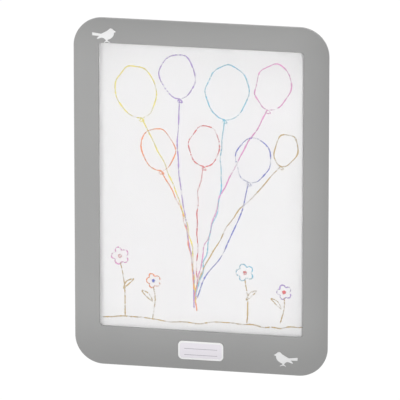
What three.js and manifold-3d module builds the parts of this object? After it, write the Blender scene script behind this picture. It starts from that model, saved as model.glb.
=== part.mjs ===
// A wall frame for children's drawings: a flat front that swings open on its left edge, over a shallow tray.
// In the tray a sprung board carries the drawings, tucked under four corner clips, with the newest one on top.
// Everything is modelled in the frame's own plane, in millimetres: x to the right, y up, z out from the wall.
// The last group turns that plane upright, so that +Z is up and the front faces -Y.

import * as THREE from 'three';
import { mergeVertices } from 'three/addons/utils/BufferGeometryUtils.js';
import Module from 'manifold-3d';

const wasm = await Module();
wasm.setup();

// Drawing sheets
const sheetWidth = 210;
const sheetHeight = 297;
const sheetThickness = 0.25;
const spareStackThickness = 1.8;

// Clearances
const fitGap = 0.3;
const runningGap = 0.4;
const cutOverrun = 2;
const rootDepth = 0.5; // how far a rib, boss or knuckle reaches into the wall that carries it

// Front frame
const sideCover = 1.6; // how far the front laps over the sheet's long edges
const endCover = 2.25; // and over its short edges
const lipOverhang = 6.25; // how far the front stands out past the tray all round
const railExtra = 14.5; // how much taller the bottom rail is than the top one
const frontCornerRadius = 29.4;
const windowCornerRadius = 4;
const frontWeb = 1.8; // plastic in front of the pane
const edgeRound = 0.7;
const paneThickness = 1.2;
const paneLap = 4.6; // how far the pane reaches past the window
const paneCornerRadius = 3;
const railRibThickness = 1.4;
const railRibDepth = 2.6;
const railRibCells = 4;
const railRibInset = 3; // from the tray's wall, and from the lowest tab

// Label and birds on the front
const labelWidth = 46.3;
const labelHeight = 19.1;
const labelCornerRadius = 4.6;
const labelThickness = 0.8;
const labelSeatDepth = 0.5;
const labelFootGap = 10.2; // from the frame's bottom edge to the label
const labelEdgeRound = 0.2;
const birdLength = 24;
const birdHeight = 15.4;
const birdThickness = 0.4;
const perchInset = 17.8; // from the window's left edge to the upper bird's beak
const lowerBirdInset = 30; // from the frame's right edge to the lower bird's tail
const lowerBirdFootGap = 9; // from the frame's bottom edge to the lower bird's feet
const perchGap = 0.4; // from the window's upper edge to the upper bird's feet

// Tabs that hold the pane
const tabLength = 10;
const tabWidth = 9;
const tabThickness = 0.5;
const tabHold = 2; // how far a tab reaches over the pane
const tabCornerRadius = 1.5;
const tabScrewRadius = 0.9;
const tabScrewLength = 2;
const tabHeadRadius = 2.3;
const tabHeadHeight = 1.4;
const tabHeightShare = 0.2;

// Tray
const trayWall = 2;
const trayFloor = 2;
const trayRibThickness = 1.2;
const trayRibHeight = 2;
const trayCrossRibHeight = 1.7;
const trayRibColumnShare = 0.095;
const trayRibRowShare = 0.17;

// Board, its posts and its springs
const boardThickness = 2.5;
const boardCornerRadius = 8;
const boardTravel = 4;
const boardEdge = 0.7; // board outside the corner clips
const boardEndGap = 0.6; // board to the magnet bosses
const boardSideGap = 4.8; // board to the tray's side walls
const boardHoleWeb = 2; // board outside a post's hole
const springRoom = 7;
const postRadius = 3;
const postProud = 0.35;
const postHeightShare = 0.35;
const sheetClear = 0.8; // sheet to the stop screws' heads
const stopHeadRadius = 4.5;
const stopHeadHeight = 1.6;
const stopScrewRadius = 1.5;
const stopScrewLength = 7;
const springLength = 60;
const springFoot = 8;
const springWidth = 10;
const springThickness = 0.5;
const springColumnShare = 0.285;
const springRowShare = 0.3;
const stakeRadius = 1.2;
const stakeHeadRadius = 2.2;
const stakeHeadHeight = 0.7;

// Corner clips on the board
const clipWall = 4;
const clipLeg = 16;
const clipRoof = 0.6;
const clipCover = 5.4; // how far a clip's roof reaches along the sheet's edges
const clipPegRadius = 1.2;

// Hinge
const knuckleRadius = 2.8;
const pinRadius = 1;
const hingeLength = 34;
const doorKnuckleLength = 16;
const knuckleGap = 0.4;
const knuckleFloor = 1.2; // closed end under the pin
const hingeHeightShare = 0.31;

// Magnets, strike plates and bumpers
const magnetLength = 18;
const magnetWidth = 5;
const magnetThickness = 3.5;
const magnetBossWall = 2.2;
const magnetSeatWeb = 2;
const bossSkirt = 1.9; // wall left round the hollow behind a magnet
const strikeLength = 19;
const strikeWidth = 6;
const strikeThickness = 1;
const bumperRadius = 3;
const bumperHeight = 1.6;
const bumperProud = 0.15;
const bumperEdge = 0.5;
const bumperBossWall = 1.4;
const bumperFromMagnet = 12;
const bumperFromRibs = 2;

// Keyhole plates
const keyPlateWidth = 40;
const keyPlateHeight = 20;
const keyPlateThickness = 1;
const keyPlateCorner = 4;
const keyPlateSink = 0.2;
const keyPadMargin = 2;
const keyPadClear = 0.4;
const keyHoleRadius = 4.5;
const keySlotWidth = 4.6;
const keySlotRise = 8;
const keyHoleDrop = 3.5;
const keyCavityMargin = 1.6;
const keyCavityWeb = 0.6;
const keyScrewRadius = 1;
const keyScrewLength = 2.4;
const keyHeadRadius = 2.1;
const keyHeadHeight = 0.6;
const keyScrewInset = 4.5; // from the plate's end to its screw
const keyColumnShare = 0.3;
const keyRowShare = 0.39;

// How finely round forms are divided
const cornerSteps = 6;
const smallCornerSteps = 3;
const discSteps = 24;
const screwSteps = 16;
const bowSteps = 8;
const edgeSteps = 3;
const curveSteps = 5;

// Sizes in the frame's plane, worked out from the sheet outwards
const windowWidth = sheetWidth - 2 * sideCover;
const windowHeight = sheetHeight - 2 * endCover;
const paneWidth = windowWidth + 2 * paneLap;
const paneHeight = windowHeight + 2 * paneLap;
const postFromSheet = sheetClear + stopHeadRadius;
const boardSideMargin = postFromSheet + postRadius + runningGap + boardHoleWeb;
const boardEndMargin = fitGap + clipWall + boardEdge;
const boardWidth = sheetWidth + 2 * boardSideMargin;
const boardHeight = sheetHeight + 2 * boardEndMargin;
const magnetBossWidth = magnetWidth + 2 * magnetBossWall;
const magnetBossLength = magnetLength + 2 * magnetBossWall;
const bumperBossRadius = bumperRadius + fitGap + bumperBossWall;
const bossRoom = Math.max(magnetBossWidth, 2 * bumperBossRadius);
const sideBorder = sideCover + boardSideMargin + boardSideGap + trayWall + lipOverhang;
const topBorder = endCover + boardEndMargin + boardEndGap + bossRoom + trayWall + lipOverhang;
const bottomBorder = topBorder + railExtra;
const frontWidth = windowWidth + 2 * sideBorder;
const frontHeight = windowHeight + topBorder + bottomBorder;
const windowRise = (bottomBorder - topBorder) / 2;
const trayWidth = frontWidth - 2 * lipOverhang;
const trayHeight = frontHeight - 2 * lipOverhang;
const trayCornerRadius = frontCornerRadius - lipOverhang;
const magnetColumn = trayWidth / 2 - trayCornerRadius - magnetBossLength / 2;
const bossRow = trayHeight / 2 - trayWall - bossRoom / 2;
const bumperColumn = magnetColumn - magnetBossLength / 2 - bumperFromMagnet;
const labelRow = -frontHeight / 2 + labelFootGap + labelHeight / 2;
const hingeRows = [-1, 1].map((side) => side * hingeHeightShare * frontHeight);

// Depths, worked out from the wall outwards
const boardBack = trayFloor + springRoom;
const boardFront = boardBack + boardThickness;
const sparesFront = boardFront + spareStackThickness;
const sheetFront = sparesFront + sheetThickness;
const clipFront = sheetFront + clipRoof;
const frontBack = clipFront + fitGap; // the front's back face, level with the pane's
const frontThickness = paneThickness + frontWeb;
const frontFace = frontBack + frontThickness;
const trayRim = frontBack - fitGap;
const postTop = boardFront + postProud;
const keyPadTop = trayFloor + springRoom - boardTravel - keyPadClear;
const hingeColumn = -trayWidth / 2 - fitGap - knuckleRadius;
const hingeDepth = frontBack - knuckleRadius - runningGap;

// Turns a three.js geometry into a solid that can be cut and joined.
function solidOf(geometry) {
  const bare = geometry.index ? geometry.toNonIndexed() : geometry.clone();
  bare.deleteAttribute('normal');
  bare.deleteAttribute('uv');
  const merged = mergeVertices(bare);
  return new wasm.Manifold(new wasm.Mesh({
    numProp: 3,
    vertProperties: new Float32Array(merged.attributes.position.array),
    triVerts: new Uint32Array(merged.index.array),
  }));
}

function geometryOf(solid) {
  const mesh = solid.getMesh();
  const geometry = new THREE.BufferGeometry();
  geometry.setAttribute('position', new THREE.BufferAttribute(mesh.vertProperties, mesh.numProp));
  geometry.setIndex(new THREE.BufferAttribute(mesh.triVerts, 1));
  geometry.computeVertexNormals();
  return geometry;
}

// Joins the added geometries to a first one, then cuts the removed ones away.
function formed(first, added, removed) {
  let solid = solidOf(first);
  for (const geometry of added) {
    solid = solid.add(solidOf(geometry));
  }
  for (const geometry of removed) {
    solid = solid.subtract(solidOf(geometry));
  }
  return geometryOf(solid);
}

// An upright rectangle with round corners, its middle at the given height.
function roundedRectangle(width, height, radius, row = 0) {
  const right = width / 2 - radius;
  const top = row + height / 2 - radius;
  const bottom = row - height / 2 + radius;
  const quarter = Math.PI / 2;
  const shape = new THREE.Shape();
  shape.absarc(right, top, radius, 0, quarter);
  shape.absarc(-right, top, radius, quarter, 2 * quarter);
  shape.absarc(-right, bottom, radius, 2 * quarter, 3 * quarter);
  shape.absarc(right, bottom, radius, 3 * quarter, 4 * quarter);
  shape.closePath();
  return shape;
}

// A half round end at the origin with two straight legs that reach up from it.
function stirrup(radius, reach) {
  const shape = new THREE.Shape();
  shape.absarc(0, 0, radius, Math.PI, 2 * Math.PI);
  shape.lineTo(radius, reach);
  shape.lineTo(-radius, reach);
  shape.closePath();
  return shape;
}

// Extrudes an outline from one depth to another.
function slab(shape, back, front, steps = cornerSteps) {
  const geometry = new THREE.ExtrudeGeometry(shape, {
    depth: front - back,
    bevelEnabled: false,
    curveSegments: steps,
  });
  return geometry.translate(0, 0, back);
}

// The same, with its outer and inner edges rounded.
function softSlab(shape, back, front, round, steps = cornerSteps) {
  const geometry = new THREE.ExtrudeGeometry(shape, {
    depth: front - back - 2 * round,
    bevelThickness: round,
    bevelSize: round,
    bevelOffset: -round,
    bevelSegments: edgeSteps,
    curveSegments: steps,
  });
  return geometry.translate(0, 0, back + round);
}

function disc(radius, x, y, back, front, steps = discSteps) {
  const geometry = new THREE.CylinderGeometry(radius, radius, front - back, steps);
  return geometry.rotateX(Math.PI / 2).translate(x, y, (back + front) / 2);
}

function block(width, height, back, front, x, y) {
  return new THREE.BoxGeometry(width, height, front - back).translate(x, y, (back + front) / 2);
}

// A shape turned about the z axis, from pairs of radius and depth.
function turned(profile, steps) {
  const points = profile.map(([radius, depth]) => new THREE.Vector2(radius, depth));
  return new THREE.LatheGeometry(points, steps).rotateX(Math.PI / 2);
}

// A screw with a domed head whose seat is at depth zero, its shank reaching back from it.
function panScrew(headRadius, headHeight, shankRadius, shankLength) {
  const crownShare = 0.62;
  const shoulderShare = 0.55;
  return turned([
    [0, -shankLength],
    [shankRadius * shoulderShare, -shankLength],
    [shankRadius, -shankLength + shankRadius * shoulderShare],
    [shankRadius, 0],
    [headRadius, 0],
    [headRadius, headHeight * shoulderShare],
    [headRadius * crownShare, headHeight],
    [0, headHeight],
  ], screwSteps);
}

function pieceOf(name, geometry, colour, roughness, metalness) {
  const material = new THREE.MeshStandardMaterial({ color: colour, roughness, metalness });
  const mesh = new THREE.Mesh(geometry, material);
  mesh.name = name;
  return mesh;
}

const greyPlastic = (name, geometry) => pieceOf(name, geometry, 0xa0a0a0, 0.62, 0);
const darkPlastic = (name, geometry) => pieceOf(name, geometry, 0x6f7072, 0.6, 0);
const whitePlastic = (name, geometry) => pieceOf(name, geometry, 0xf4f4f2, 0.45, 0);
const whitePaper = (name, geometry) => pieceOf(name, geometry, 0xf2f1f4, 0.9, 0);
const steel = (name, geometry) => pieceOf(name, geometry, 0xb9bcc0, 0.35, 1);

// A hinge knuckle between two heights, with its web reaching out from the wall or, turned, towards the tray.
function knuckleBlank(bottom, top, reach, turn) {
  const blank = slab(stirrup(knuckleRadius, reach), -top, -bottom);
  return blank.rotateZ(turn).rotateX(Math.PI / 2).translate(hingeColumn, 0, hingeDepth);
}

function knuckleBore(bottom, top) {
  const radius = pinRadius + fitGap;
  const bore = new THREE.CylinderGeometry(radius, radius, top - bottom, discSteps);
  return bore.translate(hingeColumn, (bottom + top) / 2, hingeDepth);
}

// Front frame
function frontKnuckles() {
  const blanks = [];
  const bores = [];
  for (const row of hingeRows) {
    const bottom = row - doorKnuckleLength / 2;
    const top = row + doorKnuckleLength / 2;
    blanks.push(knuckleBlank(bottom, top, frontBack + rootDepth - hingeDepth, 0));
    bores.push(knuckleBore(bottom - cutOverrun, top + cutOverrun));
  }
  return { blanks, bores };
}

// Two long ribs with cross ribs between them, like a ladder laid on its side, stiffen the bottom rail.
function railRibs() {
  const lowestTab = windowRise - paneHeight / 2 + tabHold - tabLength;
  const upper = lowestTab - railRibInset;
  const lower = -trayHeight / 2 + trayWall + railRibInset;
  const reach = 2 * (bumperColumn - bumperBossRadius - bumperFromRibs);
  const cellWidth = (reach - railRibThickness) / railRibCells - railRibThickness;
  const row = (upper + lower) / 2;
  const back = frontBack - railRibDepth;
  const front = frontBack + rootDepth;
  const cells = [];
  for (let cell = 0; cell < railRibCells; cell += 1) {
    const column = (cell - (railRibCells - 1) / 2) * (cellWidth + railRibThickness);
    const height = upper - lower - 2 * railRibThickness;
    cells.push(block(cellWidth, height, back - cutOverrun, front + cutOverrun, column, row));
  }
  return formed(block(reach, upper - lower, back, front, 0, row), [], cells);
}

const tabPlaces = [
  { name: 'left_upper', angle: Math.PI, x: -1, y: 1 },
  { name: 'left_lower', angle: Math.PI, x: -1, y: -1 },
  { name: 'right_upper', angle: 0, x: 1, y: 1 },
  { name: 'right_lower', angle: 0, x: 1, y: -1 },
  { name: 'top', angle: Math.PI / 2, x: 0, y: 1 },
  { name: 'bottom', angle: -Math.PI / 2, x: 0, y: -1 },
];

// Where a tab's inner end lies, a little inside the pane's edge.
function tabOrigin(place) {
  const side = Math.abs(place.x);
  const x = place.x * (paneWidth / 2 - tabHold);
  const row = side ? tabHeightShare * sheetHeight : paneHeight / 2 - tabHold;
  return new THREE.Vector2(x, windowRise + place.y * row);
}

const tabScrewReach = tabHold + fitGap + (tabLength - tabHold - fitGap) / 2;

function tabScrewPoint(place) {
  const along = new THREE.Vector2(Math.cos(place.angle), Math.sin(place.angle));
  return tabOrigin(place).addScaledVector(along, tabScrewReach);
}

function tabPilots() {
  return tabPlaces.map((place) => {
    const point = tabScrewPoint(place);
    const front = frontBack + tabScrewLength;
    return disc(tabScrewRadius + fitGap, point.x, point.y, frontBack - cutOverrun, front, screwSteps);
  });
}

function frontFrame() {
  const outline = roundedRectangle(frontWidth, frontHeight, frontCornerRadius);
  outline.holes.push(roundedRectangle(windowWidth, windowHeight, windowCornerRadius, windowRise));
  const bed = roundedRectangle(paneWidth + 2 * fitGap, paneHeight + 2 * fitGap, paneCornerRadius + fitGap);
  const seat = roundedRectangle(labelWidth + 2 * fitGap, labelHeight + 2 * fitGap, labelCornerRadius + fitGap);
  const knuckles = frontKnuckles();
  const strikeSeats = [-1, 1].map((side) => block(
    strikeLength + 2 * fitGap, strikeWidth + 2 * fitGap,
    frontBack - cutOverrun, frontBack + strikeThickness,
    magnetColumn, side * bossRow,
  ));
  return formed(softSlab(outline, frontBack, frontFace, edgeRound), [...knuckles.blanks, railRibs()], [
    slab(bed, frontBack - cutOverrun, frontBack + paneThickness, smallCornerSteps).translate(0, windowRise, 0),
    slab(seat, frontFace - labelSeatDepth, frontFace + cutOverrun, smallCornerSteps).translate(0, labelRow, 0),
    ...strikeSeats,
    ...tabPilots(),
    ...knuckles.bores,
  ]);
}

function labelPlate() {
  const outline = roundedRectangle(labelWidth, labelHeight, labelCornerRadius);
  const back = frontFace - labelSeatDepth;
  const plate = softSlab(outline, back, back + labelThickness, labelEdgeRound, smallCornerSteps);
  return plate.translate(0, labelRow, 0);
}

function windowPane() {
  const outline = roundedRectangle(paneWidth, paneHeight, paneCornerRadius);
  return slab(outline, frontBack, frontBack + paneThickness, smallCornerSteps).translate(0, windowRise, 0);
}

// A small songbird standing on both feet and looking right, in shares of its length and height.
function birdOutline(direction) {
  const at = (lengthShare, heightShare) => [direction * lengthShare * birdLength, heightShare * birdHeight];
  const bird = new THREE.Shape();
  bird.moveTo(...at(0, 0.52));
  bird.quadraticCurveTo(...at(0, 0.65), ...at(0.06, 0.65));
  bird.lineTo(...at(0.12, 0.65));
  bird.quadraticCurveTo(...at(0.2, 0.6), ...at(0.29, 0.55));
  bird.quadraticCurveTo(...at(0.36, 0.53), ...at(0.42, 0.56));
  bird.bezierCurveTo(...at(0.5, 0.68), ...at(0.6, 0.76), ...at(0.67, 0.86));
  bird.bezierCurveTo(...at(0.71, 0.96), ...at(0.75, 1), ...at(0.8, 1));
  bird.bezierCurveTo(...at(0.87, 1), ...at(0.93, 0.93), ...at(0.96, 0.85));
  bird.quadraticCurveTo(...at(0.98, 0.81), ...at(1, 0.78));
  bird.quadraticCurveTo(...at(0.95, 0.74), ...at(0.925, 0.71));
  bird.bezierCurveTo(...at(0.9, 0.62), ...at(0.93, 0.5), ...at(0.86, 0.4));
  bird.bezierCurveTo(...at(0.82, 0.31), ...at(0.73, 0.27), ...at(0.64, 0.21));
  bird.lineTo(...at(0.635, 0.16));
  bird.quadraticCurveTo(...at(0.72, 0.12), ...at(0.75, 0.045));
  bird.quadraticCurveTo(...at(0.75, 0), ...at(0.715, 0.01));
  bird.quadraticCurveTo(...at(0.67, 0.07), ...at(0.62, 0.05));
  bird.quadraticCurveTo(...at(0.57, 0.01), ...at(0.52, 0));
  bird.quadraticCurveTo(...at(0.49, 0), ...at(0.505, 0.04));
  bird.quadraticCurveTo(...at(0.57, 0.09), ...at(0.575, 0.16));
  bird.lineTo(...at(0.57, 0.215));
  bird.bezierCurveTo(...at(0.52, 0.3), ...at(0.48, 0.38), ...at(0.41, 0.37));
  bird.bezierCurveTo(...at(0.35, 0.35), ...at(0.3, 0.25), ...at(0.22, 0.245));
  bird.quadraticCurveTo(...at(0.195, 0.25), ...at(0.21, 0.285));
  bird.quadraticCurveTo(...at(0.25, 0.36), ...at(0.3, 0.425));
  bird.quadraticCurveTo(...at(0.23, 0.44), ...at(0.1, 0.425));
  bird.quadraticCurveTo(...at(0, 0.42), ...at(0, 0.52));
  bird.closePath();
  return bird;
}

function bird(direction) {
  return slab(birdOutline(direction), 0, birdThickness, curveSteps);
}

function paneTab() {
  const outline = roundedRectangle(tabLength, tabWidth, tabCornerRadius);
  const plate = slab(outline, 0, tabThickness, smallCornerSteps).translate(tabLength / 2, 0, 0);
  const hole = disc(tabScrewRadius + fitGap, tabScrewReach, 0, -cutOverrun, tabThickness + cutOverrun, screwSteps);
  return formed(plate, [], [hole]);
}

function strikePlate() {
  return block(strikeLength, strikeWidth, 0, strikeThickness, 0, 0);
}

// The front with all that swings with it
function frontDoor() {
  const door = new THREE.Group();
  door.add(greyPlastic('front_frame', frontFrame()));
  door.add(pieceOf('window_pane', windowPane(), 0xeef3f4, 0.05, 0));
  door.add(whitePlastic('label_plate', labelPlate()));

  const upperBird = whitePlastic('bird_upper', bird(1));
  const perchRow = windowRise + windowHeight / 2 + perchGap;
  upperBird.position.set(perchInset - windowWidth / 2 - birdLength, perchRow, frontFace);
  const lowerBird = whitePlastic('bird_lower', bird(-1));
  const lowerBirdRow = -frontHeight / 2 + lowerBirdFootGap;
  lowerBird.position.set(frontWidth / 2 - lowerBirdInset, lowerBirdRow, frontFace);
  door.add(upperBird, lowerBird);

  for (const place of tabPlaces) {
    const origin = tabOrigin(place);
    const tab = steel(`pane_tab_${place.name}`, paneTab());
    tab.position.set(origin.x, origin.y, frontBack - tabThickness);
    tab.rotation.z = place.angle;
    const point = tabScrewPoint(place);
    const shank = tabScrewLength + tabThickness - fitGap;
    const screw = steel(
      `pane_screw_${place.name}`,
      panScrew(tabHeadRadius, tabHeadHeight, tabScrewRadius, shank),
    );
    screw.position.set(point.x, point.y, frontBack - tabThickness);
    screw.rotation.x = Math.PI;
    door.add(tab, screw);
  }

  for (const [name, side] of [['strike_upper', 1], ['strike_lower', -1]]) {
    const strike = steel(name, strikePlate());
    strike.position.set(magnetColumn, side * bossRow, frontBack);
    door.add(strike);
  }
  return door;
}

// Back tray
const postColumn = sheetWidth / 2 + postFromSheet;
const postPlaces = [];
for (const [rowName, row] of [['upper', 1], ['lower', -1]]) {
  for (const [columnName, column] of [['left', -1], ['right', 1]]) {
    postPlaces.push({
      name: `${columnName}_${rowName}`,
      column,
      x: column * postColumn,
      y: windowRise + row * postHeightShare * sheetHeight,
    });
  }
}

const springPlaces = postPlaces.map((post) => ({
  name: post.name,
  column: post.column,
  x: post.column * springColumnShare * sheetWidth,
  y: windowRise + Math.sign(post.y - windowRise) * springRowShare * sheetHeight,
}));

const stakeReach = (springLength - springFoot) / 2; // from a spring's middle to its stake

function boardPosts() {
  return postPlaces.map((post) => disc(postRadius, post.x, post.y, trayFloor - rootDepth, postTop));
}

function postBores() {
  const bottom = postTop - stopScrewLength;
  return postPlaces.map((post) => disc(
    stopScrewRadius + fitGap, post.x, post.y, bottom, postTop + cutOverrun, screwSteps,
  ));
}

// A peg whose end is melted over into a head, which holds a spring's foot to the floor.
function springStakes() {
  const headBack = trayFloor + springThickness + fitGap;
  const crownShare = 0.6;
  return springPlaces.map((spring) => {
    const stake = turned([
      [0, trayFloor - rootDepth],
      [stakeRadius, trayFloor - rootDepth],
      [stakeRadius, headBack],
      [stakeHeadRadius, headBack],
      [stakeHeadRadius, headBack + stakeHeadHeight * crownShare],
      [stakeHeadRadius * crownShare, headBack + stakeHeadHeight],
      [0, headBack + stakeHeadHeight],
    ], screwSteps);
    return stake.translate(spring.x + spring.column * stakeReach, spring.y, 0);
  });
}

function trayRibs() {
  const back = trayFloor - rootDepth;
  const column = trayRibColumnShare * sheetWidth;
  const long = trayHeight - trayWall;
  const wide = trayWidth - trayWall;
  const uprights = [-1, 1].map((side) => block(
    trayRibThickness, long, back, trayFloor + trayRibHeight, side * column, 0,
  ));
  const crossings = [-1, 0, 1].map((side) => block(
    wide, trayRibThickness, back, trayFloor + trayCrossRibHeight,
    0, windowRise + side * trayRibRowShare * sheetHeight,
  ));
  return [...uprights, ...crossings];
}

const bumperBack = trayRim + bumperProud - bumperHeight;

// Depth and reach of the bosses that stand against the tray's end walls
const bossFront = trayRim - fitGap;
const bossWallFace = trayHeight / 2 - trayWall + rootDepth;

function magnetBosses() {
  const bosses = [];
  const pockets = [];
  const seat = trayRim - magnetThickness;
  const inner = bossRow - magnetBossWidth / 2;
  for (const side of [-1, 1]) {
    const row = side * bossRow;
    bosses.push(block(
      magnetBossLength, bossWallFace - inner, trayFloor - rootDepth, bossFront,
      magnetColumn, side * (bossWallFace + inner) / 2,
    ));
    pockets.push(block(
      magnetLength + 2 * fitGap, magnetWidth + 2 * fitGap, seat, trayRim + cutOverrun, magnetColumn, row,
    ));
    pockets.push(block(
      magnetBossLength - 2 * bossSkirt, magnetBossWidth - 2 * bossSkirt,
      -cutOverrun, seat - magnetSeatWeb, magnetColumn, row,
    ));
  }
  return { bosses, pockets };
}

function bumperBosses() {
  const bosses = [];
  const sockets = [];
  for (const side of [-1, 1]) {
    const row = side * bossRow;
    const boss = slab(stirrup(bumperBossRadius, bossWallFace - bossRow), trayFloor - rootDepth, bossFront);
    bosses.push(boss.rotateZ(side > 0 ? 0 : Math.PI).translate(bumperColumn, row, 0));
    sockets.push(disc(bumperRadius + fitGap, bumperColumn, row, bumperBack, trayRim + cutOverrun));
  }
  return { bosses, sockets };
}

const keyPlaces = [-1, 1].map((side) => ({
  name: side < 0 ? 'left' : 'right',
  x: side * keyColumnShare * sheetWidth,
  y: windowRise + keyRowShare * sheetHeight,
}));
const keyScrewReach = keyPlateWidth / 2 - keyScrewInset;
const keyRecess = keyPlateSink + keyPlateThickness;

function keyPads() {
  const pads = [];
  const recesses = [];
  const pad = roundedRectangle(
    keyPlateWidth + 2 * (fitGap + keyPadMargin),
    keyPlateHeight + 2 * (fitGap + keyPadMargin),
    keyPlateCorner + fitGap + keyPadMargin,
  );
  const recess = roundedRectangle(keyPlateWidth + 2 * fitGap, keyPlateHeight + 2 * fitGap, keyPlateCorner + fitGap);
  const cavityWidth = 2 * (keyHoleRadius + keyCavityMargin);
  const cavityHeight = keyHoleRadius + keySlotRise + 2 * keyCavityMargin + keySlotWidth / 2;
  const cavity = roundedRectangle(cavityWidth, cavityHeight, keyCavityMargin);
  const cavityRow = -keyHoleDrop - keyHoleRadius - keyCavityMargin + cavityHeight / 2;
  const cavityFront = keyPadTop - keyCavityWeb;
  for (const key of keyPlaces) {
    pads.push(slab(pad, trayFloor - rootDepth, keyPadTop, smallCornerSteps).translate(key.x, key.y, 0));
    recesses.push(slab(recess, -cutOverrun, keyRecess, smallCornerSteps).translate(key.x, key.y, 0));
    recesses.push(slab(cavity, -cutOverrun, cavityFront, smallCornerSteps).translate(key.x, key.y + cavityRow, 0));
    for (const side of [-1, 1]) {
      const column = key.x + side * keyScrewReach;
      recesses.push(disc(keyScrewRadius + fitGap, column, key.y, 0, cavityFront, screwSteps));
    }
  }
  return { pads, recesses };
}

function trayKnuckles() {
  const blanks = [];
  const bores = [];
  const webReach = -trayWidth / 2 + rootDepth - hingeColumn;
  for (const row of hingeRows) {
    const bottom = row - hingeLength / 2;
    const top = row + hingeLength / 2;
    const reach = doorKnuckleLength / 2 + knuckleGap;
    for (const [low, high] of [[bottom, row - reach], [row + reach, top]]) {
      blanks.push(knuckleBlank(low, high, webReach, -Math.PI / 2));
    }
    bores.push(knuckleBore(bottom + knuckleFloor, top + cutOverrun));
  }
  return { blanks, bores };
}

function backTray() {
  const outline = roundedRectangle(trayWidth, trayHeight, trayCornerRadius);
  const innerRadius = trayCornerRadius - trayWall;
  const pocket = roundedRectangle(trayWidth - 2 * trayWall, trayHeight - 2 * trayWall, innerRadius);
  const shell = geometryOf(
    solidOf(slab(outline, 0, trayRim)).subtract(solidOf(slab(pocket, trayFloor, trayRim + cutOverrun))),
  );
  const magnets = magnetBosses();
  const bumpers = bumperBosses();
  const keys = keyPads();
  const knuckles = trayKnuckles();
  const added = [
    ...trayRibs(), ...boardPosts(), ...springStakes(), ...magnets.bosses, ...bumpers.bosses, ...keys.pads,
    ...knuckles.blanks,
  ];
  const removed = [...postBores(), ...magnets.pockets, ...bumpers.sockets, ...keys.recesses, ...knuckles.bores];
  return formed(shell, added, removed);
}

function hingePin() {
  return new THREE.CylinderGeometry(pinRadius, pinRadius, hingeLength - knuckleFloor, screwSteps);
}

function magnet() {
  return block(magnetLength, magnetWidth, 0, magnetThickness, 0, 0);
}

function bumper() {
  return turned([
    [0, 0],
    [bumperRadius, 0],
    [bumperRadius, bumperHeight - bumperEdge],
    [bumperRadius - bumperEdge, bumperHeight],
    [0, bumperHeight],
  ], discSteps);
}

// A flat foot at each end and a bow between them, cut from one strip.
function leafSpring() {
  const half = springLength / 2;
  const bowHalf = half - springFoot;
  const rise = springRoom - fitGap - springThickness;
  const radius = (bowHalf ** 2 + rise ** 2) / (2 * rise);
  const spread = Math.asin(bowHalf / radius);
  const quarter = Math.PI / 2;
  const strip = new THREE.Shape();
  strip.moveTo(-half, 0);
  strip.lineTo(-bowHalf, 0);
  strip.absarc(0, rise - radius, radius, quarter + spread, quarter - spread, true);
  strip.lineTo(half, 0);
  strip.lineTo(half, springThickness);
  strip.lineTo(bowHalf, springThickness);
  strip.absarc(0, rise - radius + springThickness, radius, quarter - spread, quarter + spread, false);
  strip.lineTo(-half, springThickness);
  strip.closePath();
  const bow = new THREE.ExtrudeGeometry(strip, { depth: springWidth, bevelEnabled: false, curveSegments: bowSteps });
  bow.translate(0, 0, -springWidth / 2).rotateX(Math.PI / 2);
  const hole = disc(stakeRadius + fitGap, stakeReach, 0, -cutOverrun, springThickness + cutOverrun, screwSteps);
  return formed(bow, [], [hole]);
}

function keyPlate() {
  const outline = roundedRectangle(keyPlateWidth, keyPlateHeight, keyPlateCorner);
  const through = keyPlateThickness + cutOverrun;
  const removed = [
    disc(keyHoleRadius, 0, -keyHoleDrop, -cutOverrun, through),
    block(keySlotWidth, keySlotRise, -cutOverrun, through, 0, keySlotRise / 2 - keyHoleDrop),
    disc(keySlotWidth / 2, 0, keySlotRise - keyHoleDrop, -cutOverrun, through),
  ];
  for (const side of [-1, 1]) {
    const column = side * keyScrewReach;
    removed.push(disc(keyScrewRadius + fitGap, column, 0, -cutOverrun, through, screwSteps));
    removed.push(disc(keyHeadRadius + fitGap, column, 0, -cutOverrun, keyHeadHeight, screwSteps));
  }
  return formed(slab(outline, 0, keyPlateThickness, smallCornerSteps), [], removed);
}

function keyScrew() {
  return turned([
    [0, 0],
    [keyHeadRadius, 0],
    [keyHeadRadius, keyHeadHeight],
    [keyScrewRadius, keyHeadHeight],
    [keyScrewRadius, keyHeadHeight + keyScrewLength],
    [0, keyHeadHeight + keyScrewLength],
  ], screwSteps);
}

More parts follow.
